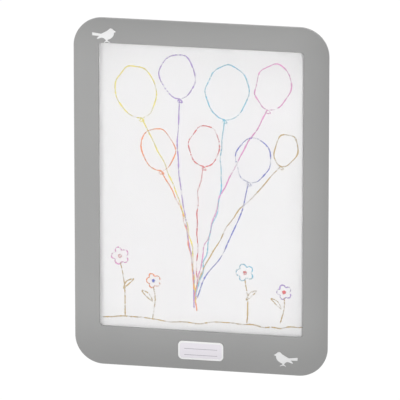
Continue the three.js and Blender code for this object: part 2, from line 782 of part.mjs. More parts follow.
// The tray with all that is fixed to it
function trayAssembly() {
  const tray = new THREE.Group();
  tray.add(darkPlastic('back_tray', backTray()));

  for (const [index, name] of ['hinge_pin_lower', 'hinge_pin_upper'].entries()) {
    const pin = steel(name, hingePin());
    pin.position.set(hingeColumn, hingeRows[index] + knuckleFloor / 2, hingeDepth);
    tray.add(pin);
  }

  for (const [name, side] of [['upper', 1], ['lower', -1]]) {
    const bar = steel(`magnet_${name}`, magnet());
    bar.position.set(magnetColumn, side * bossRow, trayRim - magnetThickness);
    const pad = pieceOf(`bumper_${name}`, bumper(), 0x2b2b2c, 0.8, 0);
    pad.position.set(bumperColumn, side * bossRow, bumperBack);
    tray.add(bar, pad);
  }

  for (const post of postPlaces) {
    const screw = steel(
      `stop_screw_${post.name}`,
      panScrew(stopHeadRadius, stopHeadHeight, stopScrewRadius, stopScrewLength - runningGap),
    );
    screw.position.set(post.x, post.y, postTop);
    tray.add(screw);
  }

  for (const place of springPlaces) {
    const spring = steel(`leaf_spring_${place.name}`, leafSpring());
    spring.position.set(place.x, place.y, trayFloor);
    spring.rotation.z = place.column > 0 ? 0 : Math.PI;
    tray.add(spring);
  }

  for (const key of keyPlaces) {
    const plate = steel(`keyhole_plate_${key.name}`, keyPlate());
    plate.position.set(key.x, key.y, keyPlateSink);
    tray.add(plate);
    for (const [end, side] of [['outer', Math.sign(key.x)], ['inner', -Math.sign(key.x)]]) {
      const screw = steel(`keyhole_screw_${key.name}_${end}`, keyScrew());
      screw.position.set(key.x + side * keyScrewReach, key.y, keyPlateSink);
      tray.add(screw);
    }
  }
  return tray;
}

// Board
const clipPegOffset = fitGap + clipWall / 2;

function artBoard() {
  const outline = roundedRectangle(boardWidth, boardHeight, boardCornerRadius);
  const removed = postPlaces.map((post) => disc(
    postRadius + runningGap, post.x, post.y - windowRise, boardBack - cutOverrun, boardFront + cutOverrun,
  ));
  for (const column of [-1, 1]) {
    for (const row of [-1, 1]) {
      const x = column * (sheetWidth / 2 + clipPegOffset);
      const y = row * (sheetHeight / 2 + clipPegOffset);
      removed.push(disc(clipPegRadius + fitGap, x, y, boardBack - cutOverrun, boardFront + cutOverrun, screwSteps));
    }
  }
  return formed(slab(outline, boardBack, boardFront, smallCornerSteps), [], removed).translate(0, windowRise, 0);
}

// Made for the upper right corner, with the sheet's corner at the origin: a wall round two sides of the sheet,
// a roof over its corner, and a peg through the board.
function cornerClip() {
  const outer = fitGap + clipWall;
  const inner = outer - clipLeg;
  const wall = new THREE.Shape([
    new THREE.Vector2(outer, outer),
    new THREE.Vector2(inner, outer),
    new THREE.Vector2(inner, fitGap),
    new THREE.Vector2(fitGap, fitGap),
    new THREE.Vector2(fitGap, inner),
    new THREE.Vector2(outer, inner),
  ]);
  const roof = new THREE.Shape([
    new THREE.Vector2(outer, outer),
    new THREE.Vector2(-clipCover - outer, outer),
    new THREE.Vector2(outer, -clipCover - outer),
  ]);
  return formed(slab(wall, boardFront, clipFront), [
    slab(roof, sheetFront, clipFront),
    disc(clipPegRadius, clipPegOffset, clipPegOffset, boardBack, boardFront + rootDepth, screwSteps),
  ], []);
}

function paperStack(back, front) {
  return block(sheetWidth, sheetHeight, back, front, 0, windowRise);
}

// The board with all that it carries
function boardAssembly() {
  const board = new THREE.Group();
  board.add(pieceOf('art_board', artBoard(), 0x8a6f52, 0.8, 0));
  board.add(whitePaper('spare_sheets', paperStack(boardFront, sparesFront)));
  board.add(whitePaper('drawing_sheet', paperStack(sparesFront, sheetFront)));

  const corners = [['right_upper', 1, 1], ['left_upper', -1, 1], ['left_lower', -1, -1], ['right_lower', 1, -1]];
  for (const [index, [name, column, row]] of corners.entries()) {
    const clip = whitePlastic(`corner_clip_${name}`, cornerClip());
    clip.position.set(column * sheetWidth / 2, windowRise + row * sheetHeight / 2, 0);
    clip.rotation.z = index * Math.PI / 2;
    board.add(clip);
  }
  return board;
}

const group = new THREE.Group();
group.add(trayAssembly(), boardAssembly(), frontDoor());
group.rotation.x = Math.PI / 2;

export default group;
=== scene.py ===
import math
import random

import bmesh
import bpy
from mathutils import Matrix, Vector


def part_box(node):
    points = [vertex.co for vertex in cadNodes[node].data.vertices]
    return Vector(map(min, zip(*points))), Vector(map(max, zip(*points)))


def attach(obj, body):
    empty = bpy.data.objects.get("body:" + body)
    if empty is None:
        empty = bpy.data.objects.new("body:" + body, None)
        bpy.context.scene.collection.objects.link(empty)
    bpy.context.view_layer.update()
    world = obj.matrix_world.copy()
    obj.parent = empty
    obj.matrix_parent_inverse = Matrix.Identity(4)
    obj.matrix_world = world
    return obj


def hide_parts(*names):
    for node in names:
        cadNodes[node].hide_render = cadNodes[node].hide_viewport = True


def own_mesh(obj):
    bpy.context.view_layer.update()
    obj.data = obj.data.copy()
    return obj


# A wall frame for children's drawings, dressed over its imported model.
# All in metres: x to the right, z up, and the wall behind at y = 0, so that a depth from the wall is -y.

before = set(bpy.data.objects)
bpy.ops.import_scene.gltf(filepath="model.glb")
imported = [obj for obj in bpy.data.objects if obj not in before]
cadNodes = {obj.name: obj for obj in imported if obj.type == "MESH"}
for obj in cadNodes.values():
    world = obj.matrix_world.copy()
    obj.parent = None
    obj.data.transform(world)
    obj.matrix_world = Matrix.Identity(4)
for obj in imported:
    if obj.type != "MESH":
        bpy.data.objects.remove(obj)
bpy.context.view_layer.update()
scene = bpy.context.scene
print("frame loaded,", len(cadNodes), "nodes")

# Camera, from the edges of the front in the photo
cameraPlace = {
    "target": (-0.00073, -0.01745, -0.00242),
    "distance": 6.0,
    "degreesAside": 11.74,
    "degreesAbove": 15.67,
    "lens": 543.7,
    "sensor": 36.0,
}


def placeCamera(place):
    aside = math.radians(place["degreesAside"])
    above = math.radians(place["degreesAbove"])
    outward = Vector((math.sin(aside) * math.cos(above), -math.cos(aside) * math.cos(above), math.sin(above)))
    bpy.ops.object.camera_add(location=Vector(place["target"]) + place["distance"] * outward)
    camera = bpy.context.object
    camera.name = "camera"
    camera.rotation_euler = outward.to_track_quat("Z", "Y").to_euler()
    camera.data.lens = place["lens"]
    camera.data.sensor_width = place["sensor"]
    camera.data.sensor_fit = "HORIZONTAL"
    scene.camera = camera


placeCamera(cameraPlace)
print("camera placed")

# Limits for picking, merging and shading, with angles in degrees
meshCare = {
    "cornerAngle": 30,
    "shadeAngle": 32,
    "sameDepth": 1e-5,
    "sameDirection": 0.99,
    "mergeWithin": 2e-6,
    "flattenAngle": 0.5,
}


def startClean():
    if bpy.context.object and bpy.context.object.mode != "OBJECT":
        bpy.ops.object.mode_set(mode="OBJECT")
    bpy.ops.object.select_all(action="DESELECT")


def makeActive(piece):
    startClean()
    piece.select_set(True)
    bpy.context.view_layer.objects.active = piece


def addPiece(name, data):
    piece = bpy.data.objects.new(name, data)
    scene.collection.objects.link(piece)
    return piece


def editAll(piece):
    makeActive(piece)
    bpy.ops.object.mode_set(mode="EDIT")
    bpy.ops.mesh.select_all(action="SELECT")


def leaveEdit():
    bpy.ops.object.mode_set(mode="OBJECT")


def modify(piece, kind, **settings):
    step = piece.modifiers.new(kind, kind)
    for label, value in settings.items():
        setattr(step, label, value)
    makeActive(piece)
    bpy.ops.object.modifier_apply(modifier=step.name)


def pick(piece, kind, wanted):
    makeActive(piece)
    bpy.ops.object.mode_set(mode="EDIT")
    bpy.ops.mesh.select_mode(type=kind)
    bpy.ops.mesh.select_all(action="DESELECT")
    mesh = bmesh.from_edit_mesh(piece.data)
    for part in (mesh.edges if kind == "EDGE" else mesh.faces):
        if wanted(part):
            part.select_set(True)
    bmesh.update_edit_mesh(piece.data)


def roundEdges(piece, wanted, radius, steps):
    pick(piece, "EDGE", wanted)
    bpy.ops.mesh.bevel(offset=radius, segments=steps, affect="EDGES")
    leaveEdit()


def isCorner(edge):
    return len(edge.link_faces) == 2 and edge.calc_face_angle() > math.radians(meshCare["cornerAngle"])


# A corner edge that lies at one depth from the wall
def isRim(edge, depth):
    return isCorner(edge) and all(abs(vertex.co.y + depth) < meshCare["sameDepth"] for vertex in edge.verts)


def runsInward(edge):
    along = edge.verts[1].co - edge.verts[0].co
    return abs(along.y) > meshCare["sameDirection"] * along.length


def shadeByAngle(piece, degrees=meshCare["shadeAngle"]):
    makeActive(piece)
    bpy.ops.object.shade_smooth_by_angle(angle=math.radians(degrees))


# Large flat faces keep their own normals beside narrow bevels
def shadeByArea(piece, degrees=meshCare["shadeAngle"]):
    shadeByAngle(piece, degrees)
    modify(piece, "WEIGHTED_NORMAL", keep_sharp=True)


def addBlock(name, size, middle):
    startClean()
    bpy.ops.mesh.primitive_cube_add(size=1, location=middle, scale=size)
    block = bpy.context.object
    block.name = name
    bpy.ops.object.transform_apply()
    return block


# A round bar, upright, or lying towards the wall when its tilt is a quarter turn
def addRound(name, radius, length, middle, tilt=0, sides=48):
    startClean()
    bpy.ops.mesh.primitive_cylinder_add(
        vertices=sides, radius=radius, depth=length, location=middle, rotation=(tilt, 0, 0))
    barrel = bpy.context.object
    barrel.name = name
    bpy.ops.object.transform_apply()
    return barrel


# A flat plate between two depths, with its four corners rounded
def addPlate(name, form):
    size = (form["width"], form["face"] - form["back"], form["height"])
    plate = addBlock(name, size, (0, -(form["back"] + form["face"]) / 2, form["middle"]))
    roundEdges(plate, runsInward, form["corner"], form["cornerSteps"])
    return plate


def combine(piece, tools, way):
    for tool in tools:
        modify(piece, "BOOLEAN", operation=way, solver="EXACT", object=tool)
        bpy.data.objects.remove(tool)


def softenEdges(piece, width, steps, degrees=meshCare["cornerAngle"]):
    modify(piece, "BEVEL", width=width, segments=steps, limit_method="ANGLE",
           angle_limit=math.radians(degrees))


def hand(piece, name, body, material, nodes):
    piece.name = name
    piece.data.name = name
    piece.data.materials.clear()
    piece.data.materials.append(material)
    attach(piece, body)
    if nodes:
        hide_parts(*nodes)
    return piece


# A node's own form once more, merged and with soft edges, in the node's place
def refine(node, body, material, edge, steps=2):
    piece = addPiece(node + "_fine", cadNodes[node].data.copy())
    makeActive(piece)
    if piece.data.has_custom_normals:
        bpy.ops.mesh.customdata_custom_splitnormals_clear()
    editAll(piece)
    bpy.ops.mesh.remove_doubles(threshold=meshCare["mergeWithin"])
    bpy.ops.mesh.dissolve_limited(angle_limit=math.radians(meshCare["flattenAngle"]))
    leaveEdit()
    softenEdges(piece, edge, steps)
    shadeByArea(piece)
    return hand(piece, node + "_fine", body, material, [node])


# From a screen colour out of 255 to linear light
def tone(red, green, blue):
    def straight(value):
        share = value / 255
        return share / 12.92 if share <= 0.04045 else ((share + 0.055) / 1.055) ** 2.4
    return (straight(red), straight(green), straight(blue), 1)


# Node helpers, where a setting is a value or another node's output
def fill(tree, node, settings):
    for label, setting in settings.items():
        if isinstance(setting, bpy.types.NodeSocket):
            tree.links.new(setting, node.inputs[label])
        else:
            node.inputs[label].default_value = setting


def objectPlace(tree):
    return tree.nodes.new("ShaderNodeTexCoord").outputs["Object"]


def newGroup(name, inputs, outputs):
    group = bpy.data.node_groups.new(name, "ShaderNodeTree")
    for way, labels in (("INPUT", inputs), ("OUTPUT", outputs)):
        for label in labels:
            group.interface.new_socket(name=label, in_out=way, socket_type="NodeSocketFloat")
    given = group.nodes.new("NodeGroupInput").outputs
    return group, given, objectPlace(group), group.nodes.new("NodeGroupOutput")


def addNoise(tree, place, scale, detail, roughness, distortion=0):
    noise = tree.nodes.new("ShaderNodeTexNoise")
    fill(tree, noise, {"Vector": place, "Scale": scale, "Detail": detail, "Roughness": roughness,
                       "Distortion": distortion})
    return noise.outputs["Fac"]


def addMath(tree, operation, first, second):
    sums = tree.nodes.new("ShaderNodeMath")
    sums.operation = operation
    fill(tree, sums, {0: first, 1: second})
    return sums.outputs["Value"]


def addRange(tree, value, low, high, toLow, toHigh):
    spread = tree.nodes.new("ShaderNodeMapRange")
    fill(tree, spread, {"Value": value, "From Min": low, "From Max": high, "To Min": toLow, "To Max": toHigh})
    return spread.outputs["Result"]


def addWeighed(tree, first, second, firstShare):
    one = addMath(tree, "MULTIPLY", first, firstShare)
    other = addMath(tree, "MULTIPLY", second, 1 - firstShare)
    return addMath(tree, "ADD", one, other)


def addBlend(tree, share, first, second):
    blend = tree.nodes.new("ShaderNodeMix")
    blend.data_type = "RGBA"
    fill(tree, blend, {"Factor": share, "A": first, "B": second})
    return blend.outputs["Result"]


def addBump(tree, height, look):
    bump = tree.nodes.new("ShaderNodeBump")
    fill(tree, bump, {"Strength": look["bump"], "Distance": look["bumpDepth"], "Height": height})
    return bump.outputs["Normal"]


# Patterns shared by the materials. A noise has its detail, its roughness and at times its distortion,
# a range runs from its first two values to its last two, and most of a pattern's tone is in its span
patternForm = {
    "grainNoise": (3, 0.6),
    "patchNoise": (2, 0.5),
    "scuffNoise": (6, 0.7),
    "scuffRange": (0.6, 0.75, 0, 1),
    "grainShare": 0.45,
    "lineNoise": (4, 0.6),
    "lineCloudScale": 130,
    "lineCloudNoise": (2, 0.5),
    "lineShare": 0.6,
    "fibreNoise": (5, 0.75, 1.2),
    "cloudNoise": (3, 0.5),
    "fibreShare": 0.5,
    "toothNoise": (3, 0.7),
    "pressNoise": (2, 0.5),
    "pressRange": (0.3, 0.66, -0.05, 0.22),
    "crestRange": (0, 0.8, -0.24, 0.1),
    "coverRange": (0.54, 0.76, 0.05, 0.95),
    "toneSpan": (0.3, 0.7),
}
acrossAxes = ("acrossX", "acrossY", "acrossZ")


# Fine moulded grain with slow patches under it, and scuffs
def makeMouldedGrain(form):
    group, given, place, end = newGroup(
        "mouldedGrain", ("grainScale", "patchScale", "scuffScale"), ("height", "tone", "scuff"))
    grain = addNoise(group, place, given["grainScale"], *form["grainNoise"])
    patch = addNoise(group, place, given["patchScale"], *form["patchNoise"])
    scuff = addNoise(group, place, given["scuffScale"], *form["scuffNoise"])
    fill(group, end, {"height": grain, "tone": addWeighed(group, grain, patch, form["grainShare"]),
                      "scuff": addRange(group, scuff, *form["scuffRange"])})
    return group


# Fine lines along one direction, as rolling or brushing leaves on metal
def makeBrushedLines(form):
    group, given, place, end = newGroup("brushedLines", acrossAxes, ("height", "tone"))
    stretch = group.nodes.new("ShaderNodeCombineXYZ")
    fill(group, stretch, dict(zip("XYZ", [given[label] for label in acrossAxes])))
    scaled = group.nodes.new("ShaderNodeVectorMath")
    scaled.operation = "MULTIPLY"
    fill(group, scaled, {0: place, 1: stretch.outputs["Vector"]})
    lines = addNoise(group, scaled.outputs["Vector"], 1, *form["lineNoise"])
    cloud = addNoise(group, place, form["lineCloudScale"], *form["lineCloudNoise"])
    fill(group, end, {"height": lines, "tone": addWeighed(group, lines, cloud, form["lineShare"])})
    return group


# Short pressed fibres, for paper and for hardboard
def makePressedFibre(form):
    group, given, place, end = newGroup("pressedFibre", ("fibreScale", "cloudScale"), ("height", "tone"))
    fibre = addNoise(group, place, given["fibreScale"], *form["fibreNoise"])
    cloud = addNoise(group, place, given["cloudScale"], *form["cloudNoise"])
    fill(group, end, {"height": fibre, "tone": addWeighed(group, fibre, cloud, form["fibreShare"])})
    return group


# Where wax has caught on the paper's tooth, most on the crest of a line
def makeWaxTooth(form):
    group, given, place, end = newGroup(
        "waxTooth", ("toothScale", "pressScale", "crest"), ("cover", "height"))
    tooth = addNoise(group, place, given["toothScale"], *form["toothNoise"])
    press = addNoise(group, place, given["pressScale"], *form["pressNoise"])
    pressed = addRange(group, press, *form["pressRange"])
    rise = addMath(group, "ADD", addRange(group, given["crest"], *form["crestRange"]), pressed)
    caught = addRange(group, addMath(group, "ADD", tooth, rise), *form["coverRange"])
    fill(group, end, {"cover": caught, "height": tooth})
    return group


mouldedGrain = makeMouldedGrain(patternForm)
brushedLines = makeBrushedLines(patternForm)
pressedFibre = makePressedFibre(patternForm)
waxTooth = makeWaxTooth(patternForm)
print("patterns made")


def startMaterial(name):
    material = bpy.data.materials.new(name)
    material.use_nodes = True
    return material, material.node_tree, material.node_tree.nodes["Principled BSDF"]


# A pattern, with its inputs taken from the look's values of the same names
def placeGroup(tree, group, look):
    node = tree.nodes.new("ShaderNodeGroup")
    node.node_tree = group
    fill(tree, node, {socket.name: look[socket.name] for socket in node.inputs if socket.name in look})
    return node


def patternColour(tree, pattern, look):
    return addBlend(tree, pattern.outputs["tone"], look["darker"], look["lighter"])


def finishSurface(tree, shader, pattern, colour, look):
    dull = addRange(tree, pattern.outputs["tone"], *patternForm["toneSpan"], look["smooth"], look["rough"])
    bump = addBump(tree, pattern.outputs["height"], look)
    fill(tree, shader, {"Base Color": colour, "Roughness": dull, "Normal": bump})


def plasticMaterial(name, look):
    material, tree, shader = startMaterial(name)
    grain = placeGroup(tree, mouldedGrain, look)
    colour = patternColour(tree, grain, look)
    if "scuffTone" in look:
        rubbed = addMath(tree, "MULTIPLY", grain.outputs["scuff"], look["scuffShare"])
        colour = addBlend(tree, rubbed, colour, look["scuffTone"])
    finishSurface(tree, shader, grain, colour, look)
    fill(tree, shader, {"IOR": look["index"]})
    return material


def metalMaterial(name, look):
    material, tree, shader = startMaterial(name)
    lines = placeGroup(tree, brushedLines, dict(zip(acrossAxes, look["across"])))
    finishSurface(tree, shader, lines, patternColour(tree, lines, look), look)
    fill(tree, shader, {"Metallic": 1})
    return material


def fibreMaterial(name, look):
    material, tree, shader = startMaterial(name)
    fibre = placeGroup(tree, pressedFibre, look)
    finishSurface(tree, shader, fibre, patternColour(tree, fibre, look), look)
    fill(tree, shader, {"Specular IOR Level": look["gloss"]})
    return material


# Floor and light
stageLook = {
    "floorHeight": -1.45,
    "floorSize": 60,
    "floorTone": (0.93, 0.93, 0.93, 1),
    "skyStrength": 0.55,
    "sunHeight": 2,
    "sunStrength": 1.72,
    "sunSoftness": 20,
    "keyAim": (-0.031, -0.0174, 0.009),
    "keyHeight": 0.325,
    "keySpread": 10,
    "rightOutward": (0.22, -0.47, 0.12),
    "rightWidth": 0.276,
    "rightPower": 0.07,
    "leftOutward": (-0.38, -0.36, 0.12),
    "leftWidth": 0.245,
    "leftPower": 0.03,
}


def setSky(look):
    scene.view_settings.view_transform = "Standard"
    scene.world = bpy.data.worlds.new("studio")
    scene.world.use_nodes = True
    tree = scene.world.node_tree
    fill(tree, tree.nodes["Background"], {"Color": (1, 1, 1, 1), "Strength": look["skyStrength"]})


def setFloor(look):
    bpy.ops.mesh.primitive_plane_add(size=look["floorSize"], location=(0, 0, look["floorHeight"]))
    floor = bpy.context.object
    floor.name = "floor"
    paint, tree, shader = startMaterial("floor_paint")
    fill(tree, shader, {"Base Color": look["floorTone"], "Roughness": 1, "Specular IOR Level": 0})
    floor.data.materials.append(paint)


def addLight(kind, name, place, power):
    bpy.ops.object.light_add(type=kind, location=place)
    light = bpy.context.object
    light.name = name
    light.data.energy = power
    light.visible_transmission = False  # the pane already lets lamps through
    return light


# Straight down, so that it whitens the floor and leaves the upright front alone
def setSun(look):
    sun = addLight("SUN", "sun", (0, 0, look["sunHeight"]), look["sunStrength"])
    sun.data.angle = math.radians(look["sunSoftness"])


# A soft lamp from each side on one patch of the front, the left one weaker and from further aside
def setLamp(side, look):
    outward = Vector(look[side + "Outward"])
    lamp = addLight("AREA", "key_light_" + side, Vector(look["keyAim"]) + outward, look[side + "Power"])
    lamp.data.shape = "RECTANGLE"
    lamp.data.size = look[side + "Width"]
    lamp.data.size_y = look["keyHeight"]
    lamp.data.spread = math.radians(look["keySpread"])
    lamp.rotation_euler = outward.to_track_quat("Z", "Y").to_euler()


setSky(stageLook)
setFloor(stageLook)
setSun(stageLook)
for side in ("left", "right"):
    setLamp(side, stageLook)
print("floor and lights set")

# Front moulding: a flat ring with round corners, hollowed behind for the pane and the strikes
frontForm = {
    "width": 0.2575,
    "height": 0.358,
    "corner": 0.0294,
    "cornerSteps": 28,
    "back": 0.01445,
    "face": 0.01745,
    "middle": 0,
    "edgeRound": 0.0007,
    "edgeSteps": 4,
    "backRound": 0.0005,
    "backSteps": 2,
}
cutOver = 0.004  # how far a cutter reaches past the front
windowForm = {
    "width": 0.2068,
    "height": 0.2925,
    "corner": 0.004,
    "cornerSteps": 10,
    "back": frontForm["back"] - cutOver,
    "face": frontForm["face"] + cutOver,
    "middle": 0.00725,
}
bedForm = {
    "width": 0.2166,
    "height": 0.3023,
    "corner": 0.0033,
    "cornerSteps": 6,
    "back": frontForm["back"] - cutOver,
    "face": 0.01565,
    "middle": windowForm["middle"],
}
labelSeatForm = {
    "width": 0.0469,
    "height": 0.0197,
    "corner": 0.0049,
    "cornerSteps": 10,
    "back": 0.01695,
    "face": frontForm["face"] + cutOver,
    "middle": -0.15925,
}
strikeSeatForm = {
    "width": 0.0196,
    "depth": 0.001,
    "height": 0.0066,
    "column": 0.08815,
    "row": 0.16605,
}
hingeForm = {
    "column": -0.1256,
    "depth": 0.01125,
    "rows": (-0.11098, 0.11098),
    "knuckleLength": 0.016,
    "knuckleRadius": 0.0028,
    "boreRadius": 0.0013,
    "boreLength": 0.026,
    "boreSides": 32,
    "webFace": 0.01495,
}
railRibForm = {
    "width": 0.1165,
    "top": -0.1546,
    "bottom": -0.16775,
    "back": 0.01185,
    "face": 0.01495,
    "thickness": 0.0014,
    "cells": 4,
}
tabForm = {
    "pilotRadius": 0.0012,
    "pilotDepth": 0.002,
    "pilotSides": 24,
    "column": 0.11215,
    "row": 0.0594,
    "top": 0.16225,
    "bottom": -0.14775,
}
frontLook = {
    "darker": tone(150, 150, 150),
    "lighter": tone(162, 162, 161),
    "scuffTone": tone(190, 190, 188),
    "scuffShare": 0.05,
    "grainScale": 2600,
    "patchScale": 14,
    "scuffScale": 320,
    "smooth": 0.46,
    "rough": 0.56,
    "bump": 0.28,
    "bumpDepth": 0.00012,
    "index": 1.46,
}


def tabPlaces(form):
    places = {}
    for side, column in (("left_", -form["column"]), ("right_", form["column"])):
        for end, row in (("upper", form["row"]), ("lower", -form["row"])):
            places[side + end] = (column, windowForm["middle"] + row)
    return {**places, "top": (0, form["top"]), "bottom": (0, form["bottom"])}


def ringBlank(form):
    ring = addPlate("front_moulding", form)
    combine(ring, [addPlate("window_cutter", windowForm)], "DIFFERENCE")
    for depth, radius, steps in ((form["face"], form["edgeRound"], form["edgeSteps"]),
                                 (form["back"], form["backRound"], form["backSteps"])):
        roundEdges(ring, lambda edge: isRim(edge, depth), radius, steps)
    return ring


def frontKnuckles(form):
    knuckles = []
    bores = []
    reach = form["webFace"] - form["depth"]
    for row in form["rows"]:
        middle = (form["column"], -form["depth"], row)
        barrel = addRound("knuckle", form["knuckleRadius"], form["knuckleLength"], middle)
        web = addBlock("knuckle_web", (2 * form["knuckleRadius"], reach, form["knuckleLength"]),
                       (form["column"], -form["depth"] - reach / 2, row))
        combine(barrel, [web], "UNION")
        knuckles.append(barrel)
        bores.append(addRound("knuckle_bore", form["boreRadius"], form["boreLength"], middle,
                              sides=form["boreSides"]))
    return knuckles, bores


# A ladder of thin ribs behind the bottom rail
def railRibs(form):
    height = form["top"] - form["bottom"]
    reach = form["face"] - form["back"]
    row = (form["top"] + form["bottom"]) / 2
    depth = (form["back"] + form["face"]) / 2
    thick = form["thickness"]
    ladder = addBlock("rail_ribs", (form["width"], reach, height), (0, -depth, row))
    cell = (form["width"] - thick) / form["cells"] - thick
    cutters = []
    for number in range(form["cells"]):
        column = (number - (form["cells"] - 1) / 2) * (cell + thick)
        cutters.append(addBlock("rib_cell", (cell, 2 * reach, height - 2 * thick), (column, -depth, row)))
    combine(ladder, cutters, "DIFFERENCE")
    return ladder


def strikeCutters(form):
    size = (form["width"], 2 * form["depth"], form["height"])
    places = [(form["column"], -frontForm["back"], side * form["row"]) for side in (-1, 1)]
    return [addBlock("strike_cutter", size, place) for place in places]


def pilotCutters(form):
    return [addRound("pilot_cutter", form["pilotRadius"], 2 * form["pilotDepth"],
                     (column, -frontForm["back"], row), math.pi / 2, form["pilotSides"])
            for column, row in tabPlaces(form).values()]


def makeFront():
    front = ringBlank(frontForm)
    knuckles, bores = frontKnuckles(hingeForm)
    combine(front, knuckles + [railRibs(railRibForm)], "UNION")
    cutters = [addPlate("bed_cutter", bedForm), addPlate("label_cutter", labelSeatForm)]
    cutters += strikeCutters(strikeSeatForm) + pilotCutters(tabForm) + bores
    combine(front, cutters, "DIFFERENCE")
    shadeByAngle(front)
    hand(front, "front_moulding", "door",
         plasticMaterial("front_grey_plastic", frontLook), ["front_frame"])


makeFront()
print("front moulding done")

# Clear pane behind the window
paneForm = {
    "width": 0.216,
    "height": 0.3017,
    "corner": 0.003,
    "cornerSteps": 8,
    "back": 0.01445,
    "face": 0.01565,
    "middle": windowForm["middle"],
    "edge": 0.0002,
}
paneLook = {
    "tint": (0.9, 0.902, 0.903, 1),
    "roughness": 0.01,
    "index": 1.49,
}


def paneMaterial(look):
    material, tree, shader = startMaterial("clear_pane")
    fill(tree, shader, {"Base Color": look["tint"], "Roughness": look["roughness"], "IOR": look["index"],
                        "Transmission Weight": 1})
    # lamps shine straight through, so the pane throws no shadow on the paper
    clear = tree.nodes.new("ShaderNodeBsdfTransparent")
    path = tree.nodes.new("ShaderNodeLightPath")
    choice = tree.nodes.new("ShaderNodeMixShader")
    fill(tree, choice, {0: path.outputs["Is Shadow Ray"], 1: shader.outputs["BSDF"],
                        2: clear.outputs["BSDF"]})
    fill(tree, tree.nodes["Material Output"], {"Surface": choice.outputs["Shader"]})
    return material


def makePane(form):
    pane = addPlate("window_pane_fine", form)
    roundEdges(pane, lambda edge: isRim(edge, form["face"]) or isRim(edge, form["back"]), form["edge"], 1)
    shadeByAngle(pane)
    hand(pane, "window_pane_fine", "door", paneMaterial(paneLook), ["window_pane"])


makePane(paneForm)
print("pane done")

# Label plate: a white plate with a raised rim round a slightly darker field, and two bare writing lines
labelForm = {
    "width": 0.0463,
    "height": 0.0191,
    "corner": 0.0046,
    "cornerSteps": 12,
    "back": 0.01695,
    "face": 0.01775,
    "middle": -0.15925,
    "edge": 0.0003,
    "edgeSteps": 3,
    "rim": 0.0012,
    "rimSlope": 0.00025,
    "sink": 0.00018,
    "plainCorners": 8,
}
labelRimLook = {
    "darker": tone(241, 241, 241),
    "lighter": tone(247, 247, 247),
    "grainScale": 3000,
    "patchScale": 60,
    "smooth": 0.35,
    "rough": 0.5,
    "bump": 0.15,
    "bumpDepth": 0.0001,
    "index": 1.5,
}
labelFieldLook = {
    "darker": tone(231, 227, 234),
    "lighter": tone(238, 234, 240),
    "lineTone": tone(128, 124, 136),
    "lineRows": (0.0018, -0.0046),
    "lineThickness": 0.00036,
    "lineHalfLength": 0.0168,
    "fibreScale": 2200,
    "cloudScale": 120,
    "rough": 0.6,
    "bump": 0.15,
    "bumpDepth": 0.00008,
}


# 1 on the writing lines and 0 beside them
def ruledLines(tree, look):
    split = tree.nodes.new("ShaderNodeSeparateXYZ")
    fill(tree, split, {"Vector": objectPlace(tree)})
    aside = addMath(tree, "ABSOLUTE", split.outputs["X"], 0)
    inside = addMath(tree, "LESS_THAN", aside, look["lineHalfLength"])
    lines = 0
    for row in look["lineRows"]:
        away = addMath(tree, "SUBTRACT", split.outputs["Z"], labelForm["middle"] + row)
        near = addMath(tree, "LESS_THAN", addMath(tree, "ABSOLUTE", away, 0), look["lineThickness"] / 2)
        lines = addMath(tree, "MAXIMUM", lines, near)
    return addMath(tree, "MULTIPLY", lines, inside)


def labelFieldMaterial(look):
    material, tree, shader = startMaterial("label_field")
    fibre = placeGroup(tree, pressedFibre, look)
    colour = addBlend(tree, ruledLines(tree, look), patternColour(tree, fibre, look), look["lineTone"])
    bump = addBump(tree, fibre.outputs["height"], look)
    fill(tree, shader, {"Base Color": colour, "Roughness": look["rough"], "Normal": bump})
    return material


# The plate's broad front face, which has many corners
def isField(normal, corners):
    return normal.y < -meshCare["sameDirection"] and corners > labelForm["plainCorners"]


def makeLabel(form):
    label = addPlate("label_plate_fine", form)
    roundEdges(label, lambda edge: isRim(edge, form["face"]), form["edge"], form["edgeSteps"])
    pick(label, "FACE", lambda face: isField(face.normal, len(face.verts)))
    bpy.ops.mesh.inset(thickness=form["rim"], depth=0)
    bpy.ops.mesh.inset(thickness=form["rimSlope"], depth=-form["sink"])
    leaveEdit()
    shadeByAngle(label)
    rim = plasticMaterial("label_rim", labelRimLook)
    hand(label, "label_plate_fine", "door", rim, ["label_plate"])
    label.data.materials.append(labelFieldMaterial(labelFieldLook))
    for face in label.data.polygons:
        if isField(face.normal, len(face.vertices)):
            face.material_index = 1


makeLabel(labelForm)
print("label done")


# A smooth line through a few points, read at a share of its spans
def between(points, share):
    spans = len(points) - 1
    first = min(int(share * spans), spans - 1)
    part = share * spans - first
    near = [Vector(points[min(max(first + offset, 0), spans)]) for offset in (-1, 0, 1, 2)]
    slope = near[2] - near[0]
    bend = 2 * near[0] - 5 * near[1] + 4 * near[2] - near[3]
    twist = 3 * near[1] - near[0] - 3 * near[2] + near[3]
    return 0.5 * (2 * near[1] + slope * part + bend * part ** 2 + twist * part ** 3)


